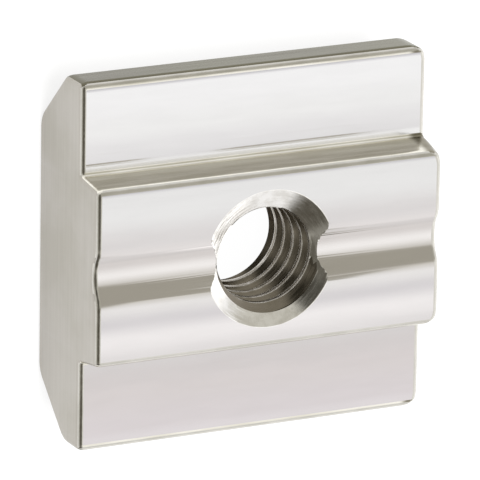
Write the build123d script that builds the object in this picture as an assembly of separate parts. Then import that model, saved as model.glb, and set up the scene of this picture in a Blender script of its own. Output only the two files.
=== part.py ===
"""T-slot nut for an 8 mm slot, M5: one solid piece of plated steel bar.

The nut lies on its back face. X runs along the slot, Y across it and +Z points
out of the rib, towards the slot's mouth. The origin is the middle of the back
face. All sizes are in millimetres, and angles in degrees.
"""

from build123d import *
from math import cos, radians, tan
import os

# Slot that the nut slides in
slot_opening = 8.2  # width of the slot's mouth, which the rib stands in
rib_play = 0.1  # room between the rib's foot and the mouth, both sides together

# Bar section
nut_width = 16.0  # across both wings
wing_thickness = 4.15  # back face to wing faces
side_height = 1.58  # upright side under each wing face
flank_run = 2.4  # how far each slanted flank comes in across the nut
rib_height = 1.65  # rib face above the wing faces
rib_draft = 8.0  # lean of each side of the rib, which narrows towards its face

# Shallow groove along the middle of the rib face, a V with a round bottom
groove_depth = 0.38
groove_wall_angle = 28.0  # from the rib face
groove_bottom_radius = 1.5
groove_shoulder_radius = 1.05  # rib face to groove wall

# Length between the two sawn ends
nut_length = 16.0

# Threaded bore, cut plain at the thread's crests
thread_diameter = 5.0
thread_pitch = 0.8
back_sink_diameter = 6.4  # deep countersink in the back face
back_sink_depth = 1.35  # down to the thread's crests
mouth_sink_diameter = 6.0  # shallow countersink in the rib face
mouth_sink_depth = 0.5  # down to the thread's crests

# Corner radii of the drawn section
back_corner_radius = 1.0  # back face to flank
flank_corner_radius = 0.8  # flank to side
wing_corner_radius = 0.3  # side to wing face
rib_root_radius = 0.15  # wing face to side of the rib
rib_corner_radius = 0.3  # side of the rib to its face

# Broken edge round each sawn end
end_edge_radius = 0.25

# Largest share of a flat that the corners at its two ends may use together
corner_share = 0.98

# Cutters stand this far out of the faces that they cut
cutter_reach = 0.5

rib_foot_width = slot_opening - rib_play
rib_face_width = rib_foot_width - 2 * rib_height * tan(radians(rib_draft))
nut_height = wing_thickness + rib_height
bore_radius = (thread_diameter - thread_pitch) / 2


def section_corners():
    """Corners of the bar section as (y, z, radius), anticlockwise from the back face."""
    wall_angle = radians(groove_wall_angle)
    round_bottom_lift = groove_bottom_radius * (1 / cos(wall_angle) - 1)
    sharp_depth = groove_depth + round_bottom_lift
    half_section = [
        (nut_width / 2 - flank_run, 0.0, back_corner_radius),
        (nut_width / 2, wing_thickness - side_height, flank_corner_radius),
        (nut_width / 2, wing_thickness, wing_corner_radius),
        (rib_foot_width / 2, wing_thickness, rib_root_radius),
        (rib_face_width / 2, nut_height, rib_corner_radius),
        (sharp_depth / tan(wall_angle), nut_height, groove_shoulder_radius),
    ]
    groove_bottom = (0.0, nut_height - sharp_depth, groove_bottom_radius)
    mirrored = [(-y, z, radius) for y, z, radius in reversed(half_section)]
    return half_section + [groove_bottom] + mirrored


def corner_reach(before, corner, after, radius):
    """How far along its two flats a rounded corner starts."""
    turn = 180 - (before - corner).get_angle(after - corner)
    return radius * tan(radians(turn) / 2)


def limited_radii(points, radii):
    """The corner radii, made smaller wherever two of them share too short a flat."""
    count = len(points)
    reaches = []
    for i in range(count):
        reaches.append(corner_reach(points[i - 1], points[i], points[(i + 1) % count], radii[i]))
    limited = []
    for i in range(count):
        scale = 1.0
        for beside in (i - 1, (i + 1) % count):
            room = corner_share * (points[beside] - points[i]).length
            scale = min(scale, room / (reaches[beside] + reaches[i]))
        limited.append(radii[i] * scale)
    return limited


def bar_section():
    """The closed section of the drawn bar, drawn in the YZ plane."""
    corners = section_corners()
    points = [Vector(y, z) for y, z, _ in corners]
    radii = limited_radii(points, [radius for _, _, radius in corners])
    outline = FilletPolyline(*points, radius=radii, close=True)
    return Plane.YZ * make_face(outline)


def bar_length():
    """The bar cut to length, with the edges round its ends broken."""
    bar = extrude(bar_section(), amount=nut_length / 2, both=True)
    ends = bar.faces().filter_by(Axis.X)
    return fillet(ends.edges(), end_edge_radius)


def bore_cutter():
    """The plain bore with a countersink at each end, as one turned cutter."""
    back_slope = (back_sink_diameter / 2 - bore_radius) / back_sink_depth
    mouth_slope = (mouth_sink_diameter / 2 - bore_radius) / mouth_sink_depth
    half_profile = Polyline(
        (0, -cutter_reach),
        (back_sink_diameter / 2 + cutter_reach * back_slope, -cutter_reach),
        (bore_radius, back_sink_depth),
        (bore_radius, nut_height - mouth_sink_depth),
        (mouth_sink_diameter / 2 + cutter_reach * mouth_slope, nut_height + cutter_reach),
        (0, nut_height + cutter_reach),
        close=True,
    )
    return revolve(Plane.XZ * make_face(half_profile), Axis.Z)


def nut_body():
    """The whole nut."""
    return bar_length() - bore_cutter()


os.makedirs("parts", exist_ok=True)
export_step(nut_body(), "parts/nut_body.step")
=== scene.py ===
"""T-slot nut M5 for an 8 mm slot, cut from cold-drawn steel bar and bright plated.

The nut lies on its back face. X runs along the slot, Y across it and +Z points
out of the rib. Shapes are made in millimetres and brought to metres at the end.
"""

import logging
import math
from dataclasses import dataclass, field, replace
from enum import IntEnum
from typing import Any

import bmesh
import bpy
from mathutils import Matrix, Vector


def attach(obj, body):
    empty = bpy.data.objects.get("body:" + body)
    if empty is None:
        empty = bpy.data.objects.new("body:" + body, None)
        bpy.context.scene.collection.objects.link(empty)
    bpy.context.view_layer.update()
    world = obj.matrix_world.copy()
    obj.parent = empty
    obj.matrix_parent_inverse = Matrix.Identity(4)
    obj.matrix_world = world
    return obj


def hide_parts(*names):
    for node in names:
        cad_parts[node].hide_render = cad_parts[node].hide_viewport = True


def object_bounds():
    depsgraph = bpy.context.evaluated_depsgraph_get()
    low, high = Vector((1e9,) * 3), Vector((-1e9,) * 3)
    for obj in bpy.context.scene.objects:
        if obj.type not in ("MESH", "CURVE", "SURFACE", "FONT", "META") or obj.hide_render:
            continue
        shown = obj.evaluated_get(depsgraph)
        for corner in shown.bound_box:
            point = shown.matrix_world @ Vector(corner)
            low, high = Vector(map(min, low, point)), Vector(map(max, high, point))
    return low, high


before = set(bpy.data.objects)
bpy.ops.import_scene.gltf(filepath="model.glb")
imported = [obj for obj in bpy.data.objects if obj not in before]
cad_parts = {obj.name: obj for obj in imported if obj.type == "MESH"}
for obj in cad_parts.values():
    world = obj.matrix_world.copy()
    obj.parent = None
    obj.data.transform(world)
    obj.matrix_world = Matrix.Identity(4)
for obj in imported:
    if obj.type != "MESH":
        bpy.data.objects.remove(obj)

CAD_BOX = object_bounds()
MM = 0.001
LOG = logging.getLogger("slot_nut")

Tree = bpy.types.NodeTree
Socket = bpy.types.NodeSocket
Colour = tuple[float, float, float, float]
Point = tuple[float, float]

# Settings that several nodes share.
COLOUR_MIX = {"data_type": "RGBA"}
COLOUR_TIMES = {"data_type": "RGBA", "blend_type": "MULTIPLY"}
SOFT_STEP = {"interpolation_type": "SMOOTHSTEP"}
WHITE = (1.0, 1.0, 1.0, 1.0)

# The sockets of a Mix node that hold colours.
MIX_A, MIX_B, MIX_RESULT = 6, 7, 2


# Small helpers


def linear(hex_colour: str) -> Colour:
    """Turns an sRGB hex colour into the linear colour that a shader takes.

    Args:
        hex_colour: Six hex digits, such as "c8c4bd".

    Returns:
        Linear red, green and blue, and an alpha of 1.
    """
    channels = [int(hex_colour[i : i + 2], 16) / 255 for i in (0, 2, 4)]
    red, green, blue = (
        c / 12.92 if c <= 0.04045 else ((c + 0.055) / 1.055) ** 2.4 for c in channels
    )
    return (red, green, blue, 1.0)


def add_node(
    tree: Tree,
    kind: str,
    settings: dict[str, Any] | None = None,
    values: dict[str | int, Any] | None = None,
    links: dict[str | int, Socket] | None = None,
) -> bpy.types.Node:
    """Adds one node with its settings, socket values and incoming links.

    Args:
        tree: The node tree that the node goes into.
        kind: The node's type, such as "ShaderNodeMath".
        settings: Properties of the node itself.
        values: Input values, by socket name or number.
        links: Sockets that feed the node's inputs, by socket name or number.

    Returns:
        The new node.
    """
    node = tree.nodes.new(kind)
    for name, value in (settings or {}).items():
        setattr(node, name, value)
    for key, value in (values or {}).items():
        node.inputs[key].default_value = value
    for key, socket in (links or {}).items():
        tree.links.new(socket, node.inputs[key])
    return node


def new_material(name: str) -> bpy.types.Material:
    """Makes an empty material that uses nodes.

    Args:
        name: The material's name.

    Returns:
        The material.
    """
    material = bpy.data.materials.new(name)
    material.use_nodes = True
    material.node_tree.nodes.clear()
    return material


def object_in_millimetres(tree: Tree) -> Socket:
    """Adds Object coordinates with one unit to the millimetre.

    Args:
        tree: The material's node tree.

    Returns:
        The place on the piece, in mm.
    """
    place = add_node(tree, "ShaderNodeTexCoord")
    scaled = add_node(
        tree,
        "ShaderNodeVectorMath",
        {"operation": "SCALE"},
        {"Scale": 1 / MM},
        {0: place.outputs["Object"]},
    )
    return scaled.outputs["Vector"]


# Finishes


class NutFace(IntEnum):
    """The nut's finishes, in the order of its material slots."""

    DRAWN = 0
    SIDE = 1
    FLANK = 2
    RIB_SIDE = 3
    SAWN = 4
    EDGE = 5
    SINK = 6
    THREAD = 7


@dataclass(frozen=True)
class PaintedLightBand:
    """Where one band of painted light starts, going across the bar from -Y to +Y.

    Attributes:
        start: Place across the bar, in mm.
        colour: What the plating's colour is multiplied by, sRGB hex; the lighter bands are painted
            reflections and the darker ones painted shade.
    """

    start: float
    colour: str


@dataclass(frozen=True)
class DieMark:
    """A line that the die left along the bar.

    Attributes:
        y: Place across the bar, in mm.
        width: Width, in mm.
        height: Height above the face, in mm; below 0 is a scratch.
    """

    y: float
    width: float
    height: float


@dataclass(frozen=True)
class BrightPlating:
    """Bright zinc plating over steel: a cool white mirror, softened by tumbling.

    The plating copies the bar underneath, so its marks differ from face to
    face. All sizes are in mm.

    Attributes:
        name: Material name.
        colour: Colour of the plating, sRGB hex.
        shade: Colour of its duller patches, sRGB hex.
        roughness: Lowest and highest roughness.
        patch_size: Width of the duller patches.
        mark_size: Width of the marks that the tool left.
        mark_height: Height of those marks.
        ripple_size: Width of the soft ripple that the tumbling left.
        ripple_height: Height of that ripple.
        grain_size: Width of the finest grain that shows. The real grain is a
            few micrometres, so this is drawn coarser.
        grain_height: Height of that grain.
        patch_edge: Noise levels between which a duller patch fades in.
        mark_edge: Noise levels between which the roughness rises on a mark.
        noise_roughness: Share that each finer octave of a noise keeps.
        detail: How many finer octaves a noise has.
        patch_detail: The same for the duller patches.
    """

    name: str
    colour: str
    shade: str
    roughness: tuple[float, float]
    patch_size: float = 3.0
    mark_size: float = 0.12
    mark_height: float = 0.0006
    ripple_size: float = 1.6
    ripple_height: float = 0.003
    grain_size: float = 0.08
    grain_height: float = 0.0005
    patch_edge: tuple[float, float] = (0.35, 0.68)
    mark_edge: tuple[float, float] = (0.3, 0.7)
    noise_roughness: float = 0.55
    detail: float = 2.0
    patch_detail: float = 3.0

    def noise_values(self, size: float, detail: float) -> dict[str | int, Any]:
        """Input values of a noise whose blobs are size mm across."""
        return {"Scale": 1 / size, "Detail": detail, "Roughness": self.noise_roughness}

    def relief(
        self, tree: Tree, place: Socket, size: float, height: float, below: Socket | None
    ) -> Socket:
        """Adds one layer of uneven relief.

        Args:
            tree: The material's node tree.
            place: Space in which the layer's bumps are round.
            size: Width of a bump, in mm.
            height: Height of a bump, in mm.
            below: Normal of the layer below, if any.

        Returns:
            The normal with the layer on it.
        """
        noise = self.noise_values(size, self.detail)
        bumps = add_node(tree, "ShaderNodeTexNoise", values=noise, links={"Vector": place})
        links = {"Height": bumps.outputs[0]}
        if below is not None:
            links["Normal"] = below
        values = {"Strength": 1.0, "Distance": height * MM}
        return add_node(tree, "ShaderNodeBump", values=values, links=links).outputs["Normal"]

    def blobs(
        self,
        tree: Tree,
        place: Socket,
        noise: dict[str | int, Any],
        edge: tuple[float, float],
        levels: tuple[float, float],
    ) -> Socket:
        """Adds soft-edged blobs.

        Args:
            tree: The material's node tree.
            place: Space in which the blobs are round.
            noise: Input values of the noise that they come from.
            edge: Noise levels at the outside and the inside of a blob's edge.
            levels: Value outside the blobs and inside them.

        Returns:
            The value, which goes from the one level to the other.
        """
        pattern = add_node(tree, "ShaderNodeTexNoise", values=noise, links={"Vector": place})
        faded = add_node(
            tree,
            "ShaderNodeMapRange",
            SOFT_STEP,
            {"From Min": edge[0], "From Max": edge[1], "To Min": levels[0], "To Max": levels[1]},
            {"Value": pattern.outputs[0]},
        )
        return faded.outputs["Result"]

    def mark_space(self, tree: Tree, place: Socket) -> Socket:
        """Turns a place into one in which the tool's marks are round blobs."""
        return place

    def patch_space(self, tree: Tree, place: Socket) -> Socket:
        """Turns a place into one in which the duller patches are round blobs."""
        return place

    def tint(self, tree: Tree, place: Socket, colour: Socket) -> Socket:
        """Changes the plating's colour from place to place."""
        return colour

    def shaped(self, tree: Tree, place: Socket, normal: Socket) -> Socket:
        """Adds relief that only this finish has."""
        return normal

    def material(self) -> bpy.types.Material:
        """Builds the plating as a material.

        Returns:
            The finished material.
        """
        made = new_material(self.name)
        tree = made.node_tree
        place = object_in_millimetres(tree)
        marked = self.mark_space(tree, place)
        patched = self.patch_space(tree, place)
        patch_noise = self.noise_values(self.patch_size, self.patch_detail)
        mark_noise = self.noise_values(self.mark_size, self.detail)
        dull_share = self.blobs(tree, patched, patch_noise, self.patch_edge, (0.0, 1.0))
        colour = add_node(
            tree,
            "ShaderNodeMix",
            COLOUR_MIX,
            {MIX_A: linear(self.colour), MIX_B: linear(self.shade)},
            {0: dull_share},
        )
        gloss = self.blobs(tree, marked, mark_noise, self.mark_edge, self.roughness)
        normal = self.relief(tree, place, self.ripple_size, self.ripple_height, None)
        normal = self.shaped(tree, place, normal)
        normal = self.relief(tree, marked, self.mark_size, self.mark_height, normal)
        normal = self.relief(tree, place, self.grain_size, self.grain_height, normal)
        shader = add_node(
            tree,
            "ShaderNodeBsdfPrincipled",
            values={"Metallic": 1.0},
            links={
                "Base Color": self.tint(tree, place, colour.outputs[MIX_RESULT]),
                "Roughness": gloss,
                "Normal": normal,
            },
        )
        add_node(tree, "ShaderNodeOutputMaterial", links={"Surface": shader.outputs["BSDF"]})
        return made


@dataclass(frozen=True)
class DrawnPlating(BrightPlating):
    """Plating on a face that slid through the die: its marks run along the bar.

    Attributes:
        stretch: How many times longer than wide a mark is.
        patch_stretch: The same for the duller patches.
        painted_light_bands: Painted reflections and painted shade across the bar, one band after
            another.
        die_marks: Single lines that stand out from the rest.
        mark_break: Length over which a single line comes and goes, in mm.
        break_edge: Noise levels between which a single line fades in.
        faintest: Share of its height that a line keeps where it is faintest.
        ramp_reach: Half the width of bar that the painted bands are laid over, in mm.
        painted_end_shade: Painted shade that the plating's colour is multiplied by at the bar's +X
            end.
        end_start: Where that end begins, in mm.
        end_stop: Where it is whole, in mm.
    """

    stretch: float = 60.0
    patch_stretch: float = 5.0
    painted_light_bands: tuple[PaintedLightBand, ...] = ()
    die_marks: tuple[DieMark, ...] = ()
    mark_break: float = 5.0
    break_edge: tuple[float, float] = (0.3, 0.6)
    faintest: float = 0.2
    ramp_reach: float = 8.5
    painted_end_shade: str = "ffffff"
    end_start: float = 7.1
    end_stop: float = 7.5

    def drawn_out(self, tree: Tree, place: Socket, stretch: float) -> Socket:
        """Shortens the bar, so that blobs become lines along it.

        Args:
            tree: The material's node tree.
            place: Place on the nut, in mm.
            stretch: How many times shorter the bar gets.

        Returns:
            The place on the shortened bar.
        """
        shortened = add_node(
            tree,
            "ShaderNodeVectorMath",
            {"operation": "MULTIPLY"},
            {1: (1 / stretch, 1.0, 1.0)},
            {0: place},
        )
        return shortened.outputs["Vector"]

    def mark_space(self, tree: Tree, place: Socket) -> Socket:
        """The marks are drawn out along the bar."""
        return self.drawn_out(tree, place, self.stretch)

    def patch_space(self, tree: Tree, place: Socket) -> Socket:
        """The duller patches are drawn out as well, but less."""
        return self.drawn_out(tree, place, self.patch_stretch)

    def across(self, tree: Tree, place: Socket, stops: list[tuple[float, Colour]]) -> Socket:
        """Adds a ramp of colours across the bar.

        Args:
            tree: The material's node tree.
            place: Place on the nut, in mm.
            stops: Places across the bar in mm, each with its colour.

        Returns:
            The ramp's colour.
        """
        split = add_node(tree, "ShaderNodeSeparateXYZ", links={"Vector": place})
        share = add_node(
            tree,
            "ShaderNodeMapRange",
            values={"From Min": -self.ramp_reach, "From Max": self.ramp_reach},
            links={"Value": split.outputs["Y"]},
        )
        node = add_node(tree, "ShaderNodeValToRGB", links={"Fac": share.outputs["Result"]})
        node.color_ramp.interpolation = "EASE"
        elements = node.color_ramp.elements
        elements.remove(elements[1])
        elements[0].position = 0.0
        elements[0].color = stops[0][1]
        for y, colour in stops:
            stop = elements.new((y / self.ramp_reach + 1) / 2)
            stop.color = colour
        return node.outputs["Color"]

    def tint(self, tree: Tree, place: Socket, colour: Socket) -> Socket:
        """Paints light and shade across the bar band by band, and paints shade at the +X end.

        Args:
            tree: The material's node tree.
            place: Place on the nut, in mm.
            colour: The plating's colour.

        Returns:
            The colour with its bands and its duller end.
        """
        if self.painted_light_bands:
            stops = [(band.start, linear(band.colour)) for band in self.painted_light_bands]
            painted_tones = self.across(tree, place, stops)
            with_painted_tones = add_node(
                tree, "ShaderNodeMix", COLOUR_TIMES, {0: 1.0}, {MIX_A: colour, MIX_B: painted_tones}
            )
            colour = with_painted_tones.outputs[MIX_RESULT]
        split = add_node(tree, "ShaderNodeSeparateXYZ", links={"Vector": place})
        at_end = add_node(
            tree,
            "ShaderNodeMapRange",
            SOFT_STEP,
            {"From Min": self.end_start, "From Max": self.end_stop},
            {"Value": split.outputs["X"]},
        )
        end_shaded = add_node(
            tree,
            "ShaderNodeMix",
            COLOUR_TIMES,
            {MIX_B: linear(self.painted_end_shade)},
            {0: at_end.outputs["Result"], MIX_A: colour},
        )
        return end_shaded.outputs[MIX_RESULT]

    def shaped(self, tree: Tree, place: Socket, normal: Socket) -> Socket:
        """Adds the single lines of the die, which come and go along the bar.

        Args:
            tree: The material's node tree.
            place: Place on the nut, in mm.
            normal: Normal of the layer below.

        Returns:
            The normal with the lines on it.
        """
        breaks = self.noise_values(self.mark_break, 0.0)
        for mark in self.die_marks:
            stops = []
            for step, height in ((-1.0, 0.0), (0.0, 1.0), (1.0, 0.0)):
                stops.append((mark.y + step * mark.width / 2, (height, height, height, 1.0)))
            whole = mark.height * MM
            line = add_node(
                tree,
                "ShaderNodeBump",
                values={"Strength": 1.0},
                links={
                    "Height": self.across(tree, place, stops),
                    "Distance": self.blobs(
                        tree, place, breaks, self.break_edge, (self.faintest * whole, whole)
                    ),
                    "Normal": normal,
                },
            )
            normal = line.outputs["Normal"]
        return normal


@dataclass(frozen=True)
class SawnPlating(BrightPlating):
    """Plating on a sawn end: its marks slant across the end.

    Attributes:
        slant: Turn of the marks from the Y axis, in degrees.
        stretch: How many times longer than wide a mark is.
    """

    slant: float = 28.0
    stretch: float = 40.0

    def mark_space(self, tree: Tree, place: Socket) -> Socket:
        """Turns the end and shortens it along the marks.

        Args:
            tree: The material's node tree.
            place: Place on the nut, in mm.

        Returns:
            The place on the turned and shortened end.
        """
        turned = add_node(
            tree,
            "ShaderNodeMapping",
            {"vector_type": "POINT"},
            {
                "Rotation": (math.radians(self.slant), 0.0, 0.0),
                "Scale": (1.0, 1 / self.stretch, 1.0),
            },
            {"Vector": place},
        )
        return turned.outputs["Vector"]


@dataclass(frozen=True)
class TurnedPlating(BrightPlating):
    """Plating in the bore: the marks of drill and tap run round its axis.

    Attributes:
        bright_radius: Radius up to which the plating has its full colour, in mm.
        deep_radius: Radius from which it has its painted shade, in mm.
        deep_painted_shade: Painted shade that the colour is multiplied by there, sRGB hex.
        waver: How far both radii come and go from place to place, in mm.
        waver_size: Width of the places where they do, in mm.
        twist: Length of the marks round the axis, as a share of a turn.
    """

    bright_radius: float = 2.128
    deep_radius: float = 2.146
    deep_painted_shade: str = "ffffff"
    waver: float = 0.04
    waver_size: float = 0.5
    twist: float = 0.12

    def around(self, tree: Tree, place: Socket) -> tuple[Socket, Socket, Socket]:
        """Adds the nodes that measure a place from the bore's axis.

        Args:
            tree: The material's node tree.
            place: Place on the nut, in mm.

        Returns:
            Distance from the axis in mm, height in mm, and the turn round the axis.
        """
        split = add_node(tree, "ShaderNodeSeparateXYZ", links={"Vector": place})
        x, y, z = (split.outputs[name] for name in ("X", "Y", "Z"))
        turn = add_node(tree, "ShaderNodeMath", {"operation": "ARCTAN2"}, links={0: y, 1: x})
        flat = add_node(tree, "ShaderNodeCombineXYZ", links={"X": x, "Y": y})
        radius = add_node(
            tree,
            "ShaderNodeVectorMath",
            {"operation": "LENGTH"},
            links={0: flat.outputs["Vector"]},
        )
        return radius.outputs["Value"], z, turn.outputs["Value"]

    def mark_space(self, tree: Tree, place: Socket) -> Socket:
        """Unrolls the bore, so that blobs become lines round it.

        Args:
            tree: The material's node tree.
            place: Place on the nut, in mm.

        Returns:
            The place in the unrolled bore.
        """
        radius, height, turn = self.around(tree, place)
        short_turn = add_node(
            tree, "ShaderNodeMath", {"operation": "MULTIPLY"}, {1: self.twist}, {0: turn}
        )
        unrolled = add_node(
            tree,
            "ShaderNodeCombineXYZ",
            links={"X": radius, "Y": height, "Z": short_turn.outputs["Value"]},
        )
        return unrolled.outputs["Vector"]

    def tint(self, tree: Tree, place: Socket, colour: Socket) -> Socket:
        """Paints shade on the plating away from the axis, down in the thread's flanks and roots.

        Args:
            tree: The material's node tree.
            place: Place on the nut, in mm.
            colour: The plating's colour.

        Returns:
            The colour, with its painted shade where the bore is deep.
        """
        radius, _, _ = self.around(tree, place)
        uneven = add_node(
            tree,
            "ShaderNodeTexNoise",
            values=self.noise_values(self.waver_size, self.detail),
            links={"Vector": place},
        )
        wavering = add_node(
            tree,
            "ShaderNodeMath",
            {"operation": "MULTIPLY_ADD"},
            {1: self.waver},
            {0: uneven.outputs[0], 2: radius},
        )
        depth = add_node(
            tree,
            "ShaderNodeMapRange",
            SOFT_STEP,
            {"From Min": self.bright_radius, "From Max": self.deep_radius},
            {"Value": wavering.outputs[0]},
        )
        shaded = add_node(
            tree,
            "ShaderNodeMix",
            COLOUR_TIMES,
            {MIX_B: linear(self.deep_painted_shade)},
            {0: depth.outputs["Result"], MIX_A: colour},
        )
        return shaded.outputs[MIX_RESULT]


# Drawn faces: long shallow die lines, and painted reflections and painted shade that make the bar
# lighter and darker from band to band.
DRAWN_FACES = DrawnPlating(
    name="bright_zinc_plate_drawn_painted_light",
    colour="e9e8e8",
    shade="e7e6e6",
    roughness=(0.12, 0.16),
    patch_size=0.5,
    mark_height=0.0003,
    ripple_height=0.002,
    grain_height=0.0004,
    painted_light_bands=(
        PaintedLightBand(-7.6, "eae5e6"),
        PaintedLightBand(-7.2, "e5dfe0"),
        PaintedLightBand(-5.6, "e3dddc"),
        PaintedLightBand(-4.9, "dfdad9"),
        PaintedLightBand(-4.2, "e1dedd"),
        PaintedLightBand(-3.7, "ece9e8"),
        PaintedLightBand(-2.7, "fcf9f8"),
        PaintedLightBand(-2.0, "e3e0e1"),
        PaintedLightBand(-1.4, "f2f0ee"),
        PaintedLightBand(-1.1, "dad6cf"),
        PaintedLightBand(-0.4, "dad6cf"),
        PaintedLightBand(0.0, "fdfaf7"),
        PaintedLightBand(0.5, "e0dbd8"),
        PaintedLightBand(0.9, "eeeae8"),
        PaintedLightBand(1.4, "e7e4e3"),
        PaintedLightBand(2.6, "f4f4f3"),
        PaintedLightBand(3.47, "f2f2f1"),
        PaintedLightBand(3.62, "cfcdd0"),
        PaintedLightBand(4.1, "fffffe"),
        PaintedLightBand(4.35, "fcfcfb"),
        PaintedLightBand(4.5, "ecebeb"),
        PaintedLightBand(5.0, "f1f0f0"),
        PaintedLightBand(5.8, "fafaf9"),
        PaintedLightBand(7.1, "ffffff"),
        PaintedLightBand(7.55, "ffffff"),
        PaintedLightBand(7.7, "cdcbce"),
    ),
    die_marks=(
        DieMark(4.83, 0.12, -0.010),
        DieMark(4.5, 0.16, 0.009),
        DieMark(0.78, 0.12, -0.005),
        DieMark(0.3, 0.14, 0.005),
        DieMark(-1.9, 0.5, -0.008),
    ),
)

# The bar's upright sides get a dark olive grey copy of the plating: painted shade, so that they show
# darker than the faces.
PAINTED_SHADE_SIDES = DrawnPlating(
    name="bright_zinc_plate_side_painted_shade",
    colour="6c6956",
    shade="625e50",
    roughness=(0.2, 0.3),
)

# The slanted flanks get a greyer copy of the plating than a face: painted shade, not as dark as the
# sides.
PAINTED_SHADE_FLANKS = DrawnPlating(
    name="bright_zinc_plate_flank_painted_shade",
    colour="c6c3bc",
    shade="bdbab2",
    roughness=(0.18, 0.28),
)

# The rib's sides scrape along the die, which leaves them streaky; painted shade darkens them towards
# the +X end.
RIB_SIDES = DrawnPlating(
    name="bright_zinc_plate_rib_side_painted_end_shade",
    colour="f0ede4",
    shade="dcd8cb",
    roughness=(0.16, 0.26),
    patch_size=0.35,
    patch_stretch=10.0,
    mark_height=0.0012,
    painted_end_shade="8f8b80",
)

# Sawn ends: fine slanting saw marks, tumbled until they are only just there.
SAWN_ENDS = SawnPlating(
    name="bright_zinc_plate_sawn",
    colour="b5b1aa",
    shade="ada9a0",
    roughness=(0.3, 0.4),
    mark_size=0.16,
    mark_height=0.0012,
)

# Broken edges: the tumbler rounds them unevenly, so the light wavers along them; their darker colour
# is painted shade that dims their highlights.
BROKEN_EDGES_PAINTED_SHADE = BrightPlating(
    name="bright_zinc_plate_edge_painted_shade",
    colour="d4d1ca",
    shade="c9c6be",
    roughness=(0.16, 0.26),
    patch_size=1.4,
    mark_size=0.15,
    mark_height=0.001,
    ripple_size=0.8,
    ripple_height=0.01,
)

# Countersinks: rings of tool chatter under bright plating, which break the light into arcs.
COUNTERSINKS = TurnedPlating(
    name="bright_zinc_plate_countersunk",
    colour="f6f4f1",
    shade="e4e1dc",
    roughness=(0.12, 0.22),
    patch_size=0.5,
    mark_size=0.1,
    mark_height=0.006,
    twist=0.3,
)

# Tapped thread: the crests are polished by the tap; painted shade darkens the flanks and roots, deep
# in the bore.
TAPPED_THREAD = TurnedPlating(
    name="bright_zinc_plate_tapped_painted_shade",
    colour="eeebe6",
    shade="e2dfd8",
    roughness=(0.16, 0.3),
    patch_size=0.5,
    mark_size=0.07,
    mark_height=0.002,
    deep_painted_shade="9b958c",
)


# The nut


@dataclass(frozen=True)
class Corner:
    """A rounded corner of the bar's section, in mm.

    Attributes:
        y: Place across the bar.
        z: Height above the back face.
        radius: Radius of the rounding.
        steps: Facets that the rounding gets.
    """

    y: float
    z: float
    radius: float
    steps: int


@dataclass(frozen=True)
class BarSection:
    """The drawn bar's section, in mm: two wings, a rib and the rib's groove.

    Attributes:
        width: Width over both wings.
        wing_thickness: From the back face to the top of the wings.
        side_height: Height of the wings' upright sides.
        flank_run: Width of a slanted flank, seen from the back.
        rib_foot_width: Width of the rib where it meets the wings.
        rib_height: Height of the rib above the wings.
        rib_draft: Lean of the rib's sides, in degrees.
        groove_depth: Depth of the groove along the rib.
        groove_wall_angle: Slope of the groove's walls, in degrees.
        groove_bottom_radius: Rounding at the bottom of the groove.
        groove_shoulder_radius: Rounding where the groove meets the rib's face.
        back_corner_radius: Rounding between back face and flank.
        flank_corner_radius: Rounding between flank and side, on +Y.
        low_flank_corner_radius: The same on -Y, where it is rounder.
        wing_corner_radius: Rounding between a side and the top of the wing.
        rib_root_radius: Rounding at the foot of the rib.
        rib_corner_radius: Rounding between the rib's side and its face.
    """

    width: float = 16.0
    wing_thickness: float = 4.15
    side_height: float = 1.58
    flank_run: float = 2.4
    rib_foot_width: float = 8.1
    rib_height: float = 1.65
    rib_draft: float = 8.0
    groove_depth: float = 0.38
    groove_wall_angle: float = 28.0
    groove_bottom_radius: float = 1.5
    groove_shoulder_radius: float = 1.05
    back_corner_radius: float = 1.0
    flank_corner_radius: float = 0.45
    low_flank_corner_radius: float = 1.1
    wing_corner_radius: float = 0.3
    rib_root_radius: float = 0.15
    rib_corner_radius: float = 0.3

    @property
    def height(self) -> float:
        """Height of the rib's face above the back face."""
        return self.wing_thickness + self.rib_height

    def rib_side(self, z: float) -> float:
        """Distance of the rib's side from the middle, at height z above the back face."""
        lean = math.tan(math.radians(self.rib_draft))
        return self.rib_foot_width / 2 - (z - self.wing_thickness) * lean

    def corners(self) -> list[Corner]:
        """Lists the section's corners.

        Returns:
            The corners, anticlockwise from the back face on the +Y side.
        """
        angle = math.radians(self.groove_wall_angle)
        lift = self.groove_bottom_radius * (1 / math.cos(angle) - 1)
        sharp_depth = self.groove_depth + lift
        half = self.width / 2
        rib_foot = self.rib_foot_width / 2
        rib_face = self.rib_side(self.height)
        shoulder = sharp_depth / math.tan(angle)
        plus_side = [
            Corner(half - self.flank_run, 0.0, self.back_corner_radius, steps=8),
            Corner(half, self.wing_thickness - self.side_height, self.flank_corner_radius, steps=14),
            Corner(half, self.wing_thickness, self.wing_corner_radius, steps=10),
            Corner(rib_foot, self.wing_thickness, self.rib_root_radius, steps=6),
            Corner(rib_face, self.height, self.rib_corner_radius, steps=10),
            Corner(shoulder, self.height, self.groove_shoulder_radius, steps=8),
        ]
        bottom = Corner(0.0, self.height - sharp_depth, self.groove_bottom_radius, steps=14)
        minus_side = [Corner(-c.y, c.z, c.radius, c.steps) for c in reversed(plus_side)]
        minus_side[-2] = replace(minus_side[-2], radius=self.low_flank_corner_radius)
        return plus_side + [bottom] + minus_side


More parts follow.
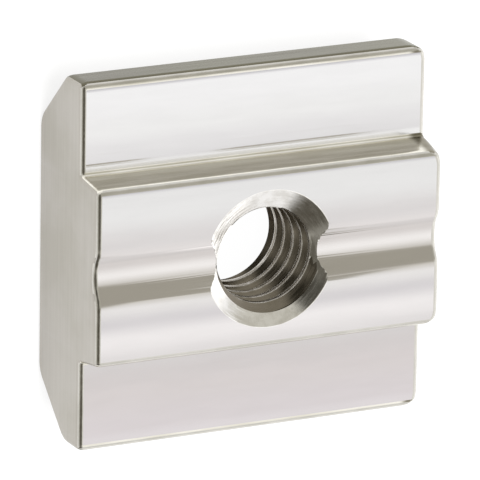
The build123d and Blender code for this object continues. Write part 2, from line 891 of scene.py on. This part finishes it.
@dataclass(frozen=True)
class TappedThread:
    """The tap that cuts the bore's thread, in mm: a metric profile with soft crests.

    Attributes:
        root_radius: Radius of the thread's roots.
        crest_radius: Radius of its crests, which is that of the drilled hole.
        pitch: Distance from one ridge to the next.
        root_flat: Width of the flat at a root.
        lip_place: From the middle of a crest to the lip on either side.
        lip_height: How far a lip stands above the middle of the crest.
        lip_curve: Points from that middle to the lip, as shares of its height and place.
        lip_rounding: Radius with which a lip turns into the flank.
        flank_turn: Turn from crest to flank, in degrees.
        lip_steps: Facets of that turn.
        start_turn: Turn about Z at which the ridges start, in degrees.
        overrun: How far the tap sticks out past each end of the bore.
        lead_in: Pitches that the sweep starts below that, where it isn't whole yet.
        spare_turns: Turns that make up for it.
        steps_per_turn: Facets round the bore.
        weld: Distance within which two vertices are one.
    """

    root_radius: float = 2.5
    crest_radius: float = 2.1
    pitch: float = 0.8
    root_flat: float = 0.1
    lip_place: float = 0.09
    lip_height: float = 0.03
    lip_curve: tuple[tuple[float, float], ...] = ((0.0, 0.0), (0.15, 0.4), (0.7, 0.75))
    lip_rounding: float = 0.03
    flank_turn: float = 60.0
    lip_steps: int = 3
    start_turn: float = 85.0
    overrun: float = 0.6
    lead_in: float = 1.5
    spare_turns: int = 2
    steps_per_turn: int = 96
    weld: float = 0.001

    def profile(self) -> list[Point]:
        """One pitch of the tap's outline.

        The tap squeezes a small lip up on both sides of each crest.

        Returns:
            Points as (radius, z), from z 0 to one pitch.
        """
        middle = self.crest_radius + self.lip_height
        rise = []
        for fall, place in self.lip_curve:
            rise.append((middle - fall * self.lip_height, place * self.lip_place))
        for i in range(self.lip_steps + 1):
            angle = math.radians(self.flank_turn * i / self.lip_steps)
            out = self.lip_rounding * (1 - math.cos(angle))
            up = self.lip_rounding * math.sin(angle)
            rise.append((self.crest_radius + out, self.lip_place + up))
        rise.append((self.root_radius, (self.pitch - self.root_flat) / 2))
        return rise + [(r, self.pitch - z) for r, z in reversed(rise)]

    def build(self, low: float, high: float) -> bmesh.types.BMesh:
        """Sweeps the tap as a closed solid between two heights.

        Args:
            low: Height that the bore starts at.
            high: Height that the bore ends at.

        Returns:
            The tap, sticking out past both heights.
        """
        bottom = low - self.overrun
        top = high + self.overrun
        turns = math.ceil((top - bottom) / self.pitch) + self.spare_turns
        bm = bmesh.new()
        start = bottom - self.lead_in * self.pitch
        ring = [bm.verts.new((r, 0.0, start + z)) for r, z in self.profile()]
        edges = [bm.edges.new(pair) for pair in zip(ring, ring[1:])]
        bmesh.ops.spin(
            bm,
            geom=ring + edges,
            cent=(0.0, 0.0, 0.0),
            axis=(0.0, 0.0, 1.0),
            dvec=(0.0, 0.0, self.pitch / self.steps_per_turn),
            angle=2 * math.pi * turns,
            steps=turns * self.steps_per_turn,
            use_merge=False,
        )
        bmesh.ops.remove_doubles(bm, verts=bm.verts[:], dist=self.weld)
        phase = Matrix.Rotation(math.radians(self.start_turn), 3, "Z")
        bmesh.ops.rotate(bm, cent=(0.0, 0.0, 0.0), matrix=phase, verts=bm.verts[:])
        for height, outward in ((bottom, -1.0), (top, 1.0)):
            cut = bmesh.ops.bisect_plane(
                bm,
                geom=bm.verts[:] + bm.edges[:] + bm.faces[:],
                plane_co=(0.0, 0.0, height),
                plane_no=(0.0, 0.0, outward),
                clear_outer=True,
            )
            rim = [e for e in cut["geom_cut"] if isinstance(e, bmesh.types.BMEdge)]
            bmesh.ops.contextual_create(bm, geom=rim)
        bmesh.ops.recalc_face_normals(bm, faces=bm.faces[:])
        return bm


@dataclass(frozen=True)
class Countersinks:
    """The countersinks at both ends of the bore, and their chatter, in mm.

    Attributes:
        back_radius: Radius at the back face.
        back_depth: Depth there, down to the thread's crests.
        mouth_radius: Radius at the rib's face.
        mouth_depth: Depth there.
        pilot_radius: Radius of the cutter between the cones, less than the tap's.
        ring_spacing: Distance from one chatter ring to the next.
        ring_height: Height of a ring above the cone, and its depth below it.
        reach: How far the cutter sticks out past both faces.
        steps: Facets round the bore.
        weld: Distance within which two vertices are one.
    """

    back_radius: float = 3.2
    back_depth: float = 1.35
    mouth_radius: float = 3.0
    mouth_depth: float = 0.5
    pilot_radius: float = 2.0
    ring_spacing: float = 0.22
    ring_height: float = 0.006
    reach: float = 0.5
    steps: int = 160
    weld: float = 0.0005

    def cone(self, wide: Point, narrow: Point) -> list[Point]:
        """A cone's outline, with the rings that the chattering tool leaves.

        Args:
            wide: Outer end of the cone, as (radius, z).
            narrow: Inner end.

        Returns:
            Points from the wide end to the narrow end.
        """
        run = Vector(narrow) - Vector(wide)
        across = run.orthogonal().normalized()
        count = 2 * round(run.length / self.ring_spacing)
        outline = [Vector(wide)]
        for i in range(1, count):
            side = 1 if i % 2 else -1
            outline.append(Vector(wide) + run * i / count + across * side * self.ring_height)
        return [tuple(point) for point in outline] + [narrow]

    def build(self, height: float, crest_radius: float) -> bmesh.types.BMesh:
        """Turns the two cones and the pilot hole as one solid.

        Args:
            height: Height of the rib's face.
            crest_radius: Radius that the cones' depths are measured to.

        Returns:
            The turned cutter.
        """
        back_slope = (self.back_radius - crest_radius) / self.back_depth
        mouth_slope = (self.mouth_radius - crest_radius) / self.mouth_depth
        narrowing = crest_radius - self.pilot_radius
        back_cone = self.cone(
            (self.back_radius + self.reach * back_slope, -self.reach),
            (self.pilot_radius, self.back_depth + narrowing / back_slope),
        )
        mouth_cone = self.cone(
            (self.mouth_radius + self.reach * mouth_slope, height + self.reach),
            (self.pilot_radius, height - self.mouth_depth - narrowing / mouth_slope),
        )
        outline = [(0.0, -self.reach), *back_cone, *reversed(mouth_cone)]
        outline.append((0.0, height + self.reach))
        bm = bmesh.new()
        points = [bm.verts.new((r, 0.0, z)) for r, z in outline]
        edges = [bm.edges.new(pair) for pair in zip(points, points[1:])]
        bmesh.ops.spin(
            bm,
            geom=points + edges,
            cent=(0.0, 0.0, 0.0),
            axis=(0.0, 0.0, 1.0),
            dvec=(0.0, 0.0, 0.0),
            angle=2 * math.pi,
            steps=self.steps,
            use_merge=True,
        )
        bmesh.ops.remove_doubles(bm, verts=bm.verts[:], dist=self.weld)
        bmesh.ops.recalc_face_normals(bm, faces=bm.faces[:])
        return bm


@dataclass(frozen=True)
class FaceLimits:
    """Limits that decide which finish a face of the bar gets.

    A face points endways, sideways and upwards by shares from 0 to 1, its normal.

    Attributes:
        upright: Upward share below which a face stands upright.
        turning_upright: The same where a side turns into an end.
        turning_sideways: Sideways share that such a face has at least.
        endways: Endways share from which a face belongs to an end's edge.
        sawn: Endways share from which an upright face is sawn.
        level_sawn: The same for any other face.
        side_depth: Width of the strip at the wings' tips that holds the sides, in mm.
        root_sideways: Sideways share from which a face is part of the rib's root.
        root_drop: How far that root reaches below the wing's top, in mm.
        root_rise: How far it reaches up the rib, as a share of the rib's height.
        corner_sideways: Sideways share from which a face is part of a broken corner.
        corner_drop: How far below the wing's top such a corner reaches, in mm.
        groove_share: Share of the rib's foot, from the middle, that has no corner.
        flank: Downward share above and below which a slanted face is no flank.
    """

    upright: float = 0.55
    turning_upright: float = 0.75
    turning_sideways: float = 0.5
    endways: float = 0.05
    sawn: float = 0.75
    level_sawn: float = 0.99
    side_depth: float = 1.0
    root_sideways: float = 0.05
    root_drop: float = 0.01
    root_rise: float = 0.25
    corner_sideways: float = 0.2
    corner_drop: float = 0.5
    groove_share: float = 1 / 3
    flank: tuple[float, float] = (0.2, 0.95)


@dataclass
class SlotNut:
    """The nut: a length of drawn bar with a tapped, countersunk bore, in mm.

    Attributes:
        length: Length of the bar.
        end_edge_radius: Rounding of the edges at both ends.
        end_edge_steps: Facets of that rounding.
        worn_corners: Wear of the ends' corners, at the -X end and the +X end.
        worn_steps: Where the wear gets its facets, as shares of its width.
        rib_rings: Facets of the wear over the rib's height.
        snap: Distance within which a facet's line runs through a vertex.
        weld: Distance within which two vertices are one.
        sharp_angle: Angle from which an edge shows as sharp, in degrees.
        section: The bar's section.
        thread: The thread's tap.
        sinks: The cutter for the countersinks.
        limits: What decides a face's finish.
        finishes: The plating of each kind of face.
        materials: The materials made from them.
    """

    length: float = 16.0
    end_edge_radius: float = 0.25
    end_edge_steps: int = 6
    worn_corners: tuple[float, float] = (0.2, 0.6)
    worn_steps: tuple[float, ...] = (0.0, 0.4, 0.7)
    rib_rings: int = 5
    snap: float = 0.01
    weld: float = 0.0008
    sharp_angle: float = 30.0
    section: BarSection = field(default_factory=BarSection)
    thread: TappedThread = field(default_factory=TappedThread)
    sinks: Countersinks = field(default_factory=Countersinks)
    limits: FaceLimits = field(default_factory=FaceLimits)
    finishes: dict[NutFace, BrightPlating] = field(
        default_factory=lambda: {
            NutFace.DRAWN: DRAWN_FACES,
            NutFace.SIDE: PAINTED_SHADE_SIDES,
            NutFace.FLANK: PAINTED_SHADE_FLANKS,
            NutFace.RIB_SIDE: RIB_SIDES,
            NutFace.SAWN: SAWN_ENDS,
            NutFace.EDGE: BROKEN_EDGES_PAINTED_SHADE,
            NutFace.SINK: COUNTERSINKS,
            NutFace.THREAD: TAPPED_THREAD,
        }
    )
    materials: dict[NutFace, bpy.types.Material] = field(default_factory=dict)

    def drawn_bar(self) -> bmesh.types.BMesh:
        """Rounds the section, pulls it to length and breaks the end edges.

        Returns:
            The bar, before the bore is cut.
        """
        corners = self.section.corners()
        bm = bmesh.new()
        points = [bm.verts.new((-self.length / 2, c.y, c.z)) for c in corners]
        bm.faces.new(points)
        places = [Vector((c.y, c.z)) for c in corners]
        for i, corner in enumerate(corners):
            after = places[(i + 1) % len(places)]
            turn = (places[i] - places[i - 1]).angle(after - places[i])
            bmesh.ops.bevel(
                bm,
                geom=[points[i]],
                offset=corner.radius * math.tan(turn / 2),
                offset_type="ABSOLUTE",
                segments=corner.steps,
                profile=0.5,
                affect="VERTICES",
                clamp_overlap=False,
                material=-1,
            )
        pulled = bmesh.ops.extrude_face_region(bm, geom=bm.faces[:])
        moved = [v for v in pulled["geom"] if isinstance(v, bmesh.types.BMVert)]
        bmesh.ops.translate(bm, verts=moved, vec=(self.length, 0.0, 0.0))
        bmesh.ops.recalc_face_normals(bm, faces=bm.faces[:])
        end_edges = [e for e in bm.edges if abs(e.verts[0].co.x - e.verts[1].co.x) < self.weld]
        bmesh.ops.bevel(
            bm,
            geom=end_edges,
            offset=self.end_edge_radius,
            offset_type="OFFSET",
            segments=self.end_edge_steps,
            profile=0.5,
            affect="EDGES",
            clamp_overlap=False,
            loop_slide=False,
            material=-1,
        )
        self.wear_corners(bm)
        for face in bm.faces:
            face.material_index = int(self.face_finish(face))
        return bm

    def wear(self, place: Vector) -> float:
        """How far an end is worn back, which it is at the corners of wings and rib.

        Args:
            place: A point on the bar, near one of its ends.

        Returns:
            The wear along the bar.
        """
        worn = self.worn_corners[place.x > 0]
        rise = max((place.z - self.section.wing_thickness) / self.section.rib_height, 0.0)
        depths = []
        for side in (self.section.width / 2, self.section.rib_side(place.z)):
            share = min(max((abs(place.y) - side) / worn + 1, 0.0), 1.0)
            depths.append(worn * (1 - math.sqrt(1 - share * share)))
        return max(depths[0], depths[1] * rise * rise)

    def wear_corners(self, bm: bmesh.types.BMesh) -> None:
        """Rounds the upright corners of the wings and of the rib at both ends.

        Args:
            bm: The bar.
        """
        section = self.section
        cuts = []
        for side in (section.width / 2, section.rib_side(section.height)):
            for worn in self.worn_corners:
                for step in self.worn_steps:
                    y = side - worn * (1 - step)
                    cuts += [((0.0, sign * y, 0.0), (0.0, 1.0, 0.0)) for sign in (-1, 1)]
        for ring in range(1, self.rib_rings):
            height = section.wing_thickness + ring / self.rib_rings * section.rib_height
            cuts.append(((0.0, 0.0, height), (0.0, 0.0, 1.0)))
        for place, across in cuts:
            bar = bm.verts[:] + bm.edges[:] + bm.faces[:]
            bmesh.ops.bisect_plane(bm, geom=bar, dist=self.snap, plane_co=place, plane_no=across)
        for vert in bm.verts:
            vert.co.x -= math.copysign(self.wear(vert.co), vert.co.x)

    def face_finish(self, face: bmesh.types.BMFace) -> NutFace:
        """Tells a face's finish by its place and by the way that it faces.

        Args:
            face: A face of the bar.

        Returns:
            The face's finish.
        """
        limits, section = self.limits, self.section
        centre = face.calc_center_median()
        off_middle = abs(centre.y)
        height = centre.z - section.wing_thickness
        facing = Vector(abs(part) for part in face.normal)
        turning = facing.y > limits.turning_sideways and facing.x > limits.endways
        upright = facing.z < (limits.turning_upright if turning else limits.upright)
        on_rib = off_middle > section.rib_foot_width * limits.groove_share
        at_root = -limits.root_drop < height < section.rib_height * limits.root_rise
        least, most = limits.flank
        # The side, flank and edge finishes are darker copies of the plating, painted shade, so these
        # tests also decide where that painted shade falls.
        if facing.x > (limits.sawn if upright else limits.level_sawn):
            return NutFace.SAWN
        if upright and off_middle > section.width / 2 - limits.side_depth:
            return NutFace.SIDE
        if upright or (at_root and facing.y > limits.root_sideways):
            return NutFace.RIB_SIDE
        if facing.x > limits.endways:
            return NutFace.EDGE
        if facing.y > limits.corner_sideways and on_rib and height > -limits.corner_drop:
            return NutFace.EDGE
        if least < -face.normal.z < most:
            return NutFace.FLANK
        return NutFace.DRAWN

    def to_object(self, bm: bmesh.types.BMesh, name: str) -> bpy.types.Object:
        """Makes an object of a bmesh, with the nut's materials, and frees the bmesh.

        Args:
            bm: The shape.
            name: Name of the object and its mesh.

        Returns:
            The object, linked to the scene.
        """
        mesh = bpy.data.meshes.new(name)
        bm.to_mesh(mesh)
        bm.free()
        for finish in NutFace:
            mesh.materials.append(self.materials[finish])
        made = bpy.data.objects.new(name, mesh)
        bpy.context.scene.collection.objects.link(made)
        return made

    def cut(self, body: bpy.types.Object, tool: bmesh.types.BMesh, finish: NutFace) -> None:
        """Takes a tool's shape out of the body.

        Args:
            body: The object that is cut.
            tool: The shape that is taken away.
            finish: The finish that the tool leaves.
        """
        for face in tool.faces:
            face.material_index = int(finish)
        cutter = self.to_object(tool, "cutter")
        taken = body.modifiers.new("bore", "BOOLEAN")
        taken.operation = "DIFFERENCE"
        taken.solver = "EXACT"
        taken.material_mode = "INDEX"
        taken.object = cutter
        shapes = bpy.context.evaluated_depsgraph_get()
        result = bpy.data.meshes.new_from_object(body.evaluated_get(shapes))
        body.modifiers.remove(taken)
        spent = [body.data, cutter.data]
        body.data = result
        bpy.data.objects.remove(cutter)
        for mesh in spent:
            bpy.data.meshes.remove(mesh)

    def finish_mesh(self, body: bpy.types.Object) -> None:
        """Smooths the roundings, keeps the cut edges crisp and goes to metres.

        Args:
            body: The nut, with its bore cut.
        """
        bm = bmesh.new()
        bm.from_mesh(body.data)
        bmesh.ops.remove_doubles(bm, verts=bm.verts[:], dist=self.weld)
        bmesh.ops.dissolve_degenerate(bm, edges=bm.edges[:], dist=self.weld)
        limit = math.radians(self.sharp_angle)
        for edge in bm.edges:
            edge.smooth = edge.calc_face_angle(0.0) < limit
        for face in bm.faces:
            face.smooth = True
        bmesh.ops.scale(bm, vec=(MM, MM, MM), verts=bm.verts[:])
        bm.to_mesh(body.data)
        bm.free()
        shading = body.modifiers.new("shading", "WEIGHTED_NORMAL")
        shading.mode = "FACE_AREA"
        shading.keep_sharp = True

    def build(self) -> bpy.types.Object:
        """Builds and dresses the nut.

        Returns:
            The finished piece, which stands for the CAD node nut_body.
        """
        self.materials = {key: look.material() for key, look in self.finishes.items()}
        body = self.to_object(self.drawn_bar(), "slot_nut")
        height = self.section.height
        self.cut(body, self.sinks.build(height, self.thread.crest_radius), NutFace.SINK)
        self.cut(body, self.thread.build(0.0, height), NutFace.THREAD)
        self.finish_mesh(body)
        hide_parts("nut_body")
        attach(body, "root")
        return body


# Studio


@dataclass(frozen=True)
class SkyPatch:
    """A round, soft-edged part of the studio's surroundings.

    Attributes:
        name: What it is, which labels its node.
        towards: Direction from the nut.
        inner: Angle from that direction where the patch is whole, in degrees.
        outer: Angle where it has faded out, in degrees.
        colour: Its colour, sRGB hex.
        level: Its brightness, where 1 is white paper.
    """

    name: str
    towards: tuple[float, float, float]
    inner: float
    outer: float
    colour: str
    level: float = 1.0

    def light(self) -> Colour:
        """Colour and brightness as one linear colour."""
        return tuple(self.level * c for c in linear(self.colour))


@dataclass(frozen=True)
class Studio:
    """A pale floor under a soft light tent, and the camera.

    Attributes:
        wall_level: Brightness of the white walls wherever no patch is.
        patches: Parts of the surroundings, each laid over the ones before it.
        fill_power: Power of the overhead lamp, in W.
        fill_size: Its width, in m.
        fill_height: Its height above the floor, in m.
        floor_colour: Colour of the floor's card, sRGB hex.
        floor_roughness: Roughness of that card.
        floor_white: Share of plain white in the floor where it is seen or mirrored.
        bore_painted_light: The same share in the middle, under the bore: painted light, which makes
            the floor glow whiter in the bore's shadow.
        bore_reach: Distances from the middle between which it changes, in mm.
        floor_size: Width of the floor, in m.
        camera_distance: From the nut's middle to the camera, in m.
        camera_turn: Turns about X, Y and Z that bring the nut to the camera, in degrees.
        lens: Focal length, in mm.
        sensor: Width of the sensor, in mm.
        nearest: Nearest distance that the camera sees, in m.
    """

    wall_level: float = 0.97
    patches: tuple[SkyPatch, ...] = (
        SkyPatch("dim room above", (0.0, 0.0, 1.0), 59.0, 68.0, "c9c7be"),
        SkyPatch("window on the right", (0.9, -0.35, 0.12), 20.0, 34.0, "ffffff", 1.5),
        SkyPatch("soft box", (0.6, -0.4, 0.7), 29.0, 36.0, "ffffff", 1.1),
        SkyPatch("gap in the tent", (-0.4, -0.2, 0.9), 14.0, 30.0, "625f56"),
        SkyPatch("curtain", (-0.35, 0.4, 0.85), 10.0, 22.0, "45433c"),
        SkyPatch("doorway", (-0.25, -0.85, 0.45), 14.0, 28.0, "57534a"),
    )
    fill_power: float = 2.4
    fill_size: float = 0.3
    fill_height: float = 0.35
    floor_colour: str = "f9f9f9"
    floor_roughness: float = 0.9
    floor_white: float = 0.8
    bore_painted_light: float = 0.97
    bore_reach: tuple[float, float] = (3.2, 5.0)
    floor_size: float = 1.2
    camera_distance: float = 0.2736
    camera_turn: tuple[float, float, float] = (18.83, 24.94, 7.20)
    lens: float = 487.4
    sensor: float = 36.0
    nearest: float = 0.01

    def world(self) -> None:
        """Lights the studio from a sky of soft patches."""
        world = bpy.data.worlds.new("light_tent")
        bpy.context.scene.world = world
        world.use_nodes = True
        tree = world.node_tree
        tree.nodes.clear()
        direction = add_node(tree, "ShaderNodeTexCoord").outputs["Generated"]
        walls = add_node(tree, "ShaderNodeRGB")
        walls.outputs[0].default_value = [self.wall_level * c for c in WHITE]
        light = walls.outputs[0]
        for patch in self.patches:
            facing = add_node(
                tree,
                "ShaderNodeVectorMath",
                {"operation": "DOT_PRODUCT"},
                {1: Vector(patch.towards).normalized()},
                {0: direction},
            )
            share = add_node(
                tree,
                "ShaderNodeMapRange",
                SOFT_STEP,
                {
                    "From Min": math.cos(math.radians(patch.outer)),
                    "From Max": math.cos(math.radians(patch.inner)),
                },
                {"Value": facing.outputs["Value"]},
            )
            mixed = add_node(
                tree,
                "ShaderNodeMix",
                COLOUR_MIX | {"label": patch.name},
                {MIX_B: patch.light()},
                {0: share.outputs["Result"], MIX_A: light},
            )
            light = mixed.outputs[MIX_RESULT]
        lit = add_node(tree, "ShaderNodeBackground", links={"Color": light})
        paper = add_node(tree, "ShaderNodeBackground", values={"Color": WHITE, "Strength": 1.0})
        rays = add_node(tree, "ShaderNodeLightPath")
        shown = add_node(
            tree,
            "ShaderNodeMixShader",
            links={
                0: rays.outputs["Is Camera Ray"],
                1: lit.outputs["Background"],
                2: paper.outputs["Background"],
            },
        )
        add_node(tree, "ShaderNodeOutputWorld", links={"Surface": shown.outputs["Shader"]})

    def fill(self) -> None:
        """Hangs a wide lamp overhead that brings matt surfaces to a plain level."""
        lamp = bpy.data.lights.new("overhead_fill", "AREA")
        lamp.shape = "SQUARE"
        lamp.size = self.fill_size
        lamp.energy = self.fill_power
        made = bpy.data.objects.new("overhead_fill", lamp)
        made.location = (0.0, 0.0, self.fill_height)
        made.visible_glossy = False
        bpy.context.scene.collection.objects.link(made)

    def card(self) -> bpy.types.Material:
        """Makes the floor's card, which shows near white and keeps the nut's shadow, but under the
        bore painted light makes it glow whiter.

        Returns:
            The card's material.
        """
        material = new_material("matt_white_card")
        tree = material.node_tree
        card = add_node(
            tree,
            "ShaderNodeBsdfPrincipled",
            values={"Base Color": linear(self.floor_colour), "Roughness": self.floor_roughness},
        )
        glow = add_node(tree, "ShaderNodeEmission", values={"Color": WHITE, "Strength": 1.0})
        rays = add_node(tree, "ShaderNodeLightPath")
        seen = rays.outputs["Is Camera Ray"]
        for kind in ("Is Glossy Ray", "Is Transmission Ray"):
            either = add_node(
                tree,
                "ShaderNodeMath",
                {"operation": "MAXIMUM"},
                links={0: seen, 1: rays.outputs[kind]},
            )
            seen = either.outputs["Value"]
        # Painted light: under the bore the card glows whiter, filling the shadow that the nut casts
        # there.
        place = object_in_millimetres(tree)
        distance = add_node(tree, "ShaderNodeVectorMath", {"operation": "LENGTH"}, links={0: place})
        inner, outer = self.bore_reach
        white = add_node(
            tree,
            "ShaderNodeMapRange",
            SOFT_STEP,
            {
                "From Min": inner,
                "From Max": outer,
                "To Min": self.bore_painted_light,
                "To Max": self.floor_white,
            },
            {"Value": distance.outputs["Value"]},
        )
        share = add_node(
            tree,
            "ShaderNodeMath",
            {"operation": "MULTIPLY"},
            links={0: seen, 1: white.outputs["Result"]},
        )
        mixed = add_node(
            tree,
            "ShaderNodeMixShader",
            links={0: share.outputs["Value"], 1: card.outputs["BSDF"], 2: glow.outputs["Emission"]},
        )
        add_node(tree, "ShaderNodeOutputMaterial", links={"Surface": mixed.outputs["Shader"]})
        return material

    def floor(self) -> bpy.types.Object:
        """Lays the floor under the nut.

        Returns:
            The floor.
        """
        bm = bmesh.new()
        bmesh.ops.create_grid(bm, x_segments=1, y_segments=1, size=self.floor_size / 2)
        mesh = bpy.data.meshes.new("studio_floor")
        bm.to_mesh(mesh)
        bm.free()
        mesh.materials.append(self.card())
        made = bpy.data.objects.new("studio_floor", mesh)
        bpy.context.scene.collection.objects.link(made)
        return made

    def camera(self) -> bpy.types.Object:
        """Sets the camera over the rib side, looking at the nut's middle.

        Returns:
            The scene's camera.
        """
        low, high = (Vector(corner) for corner in CAD_BOX)
        middle = (low + high) / 2
        data = bpy.data.cameras.new("camera")
        data.lens = self.lens
        data.sensor_width = self.sensor
        data.clip_start = self.nearest
        made = bpy.data.objects.new("camera", data)
        bpy.context.scene.collection.objects.link(made)
        about_x, about_y, about_z = (math.radians(a) for a in self.camera_turn)
        seen = (
            Matrix.Rotation(about_z, 3, "Z")
            @ Matrix.Rotation(about_y, 3, "Y")
            @ Matrix.Rotation(about_x, 3, "X")
        )
        turned = seen.transposed().to_4x4()
        turned.translation = middle + turned.col[2].to_3d() * self.camera_distance
        made.matrix_world = turned
        bpy.context.scene.camera = made
        return made

    def build(self) -> None:
        """Sets up the light, the floor, the camera and the view."""
        self.world()
        self.fill()
        self.floor()
        self.camera()
        bpy.context.scene.view_settings.view_transform = "Standard"


def main() -> None:
    """Builds the nut and its studio, and logs the nut's face count."""
    logging.basicConfig(level=logging.INFO)
    nut = SlotNut().build()
    LOG.info("%s: %d faces", nut.name, len(nut.data.polygons))
    Studio().build()
    LOG.info("studio: light tent, floor and camera")
    bpy.context.view_layer.update()


if __name__ == "__main__":
    main()
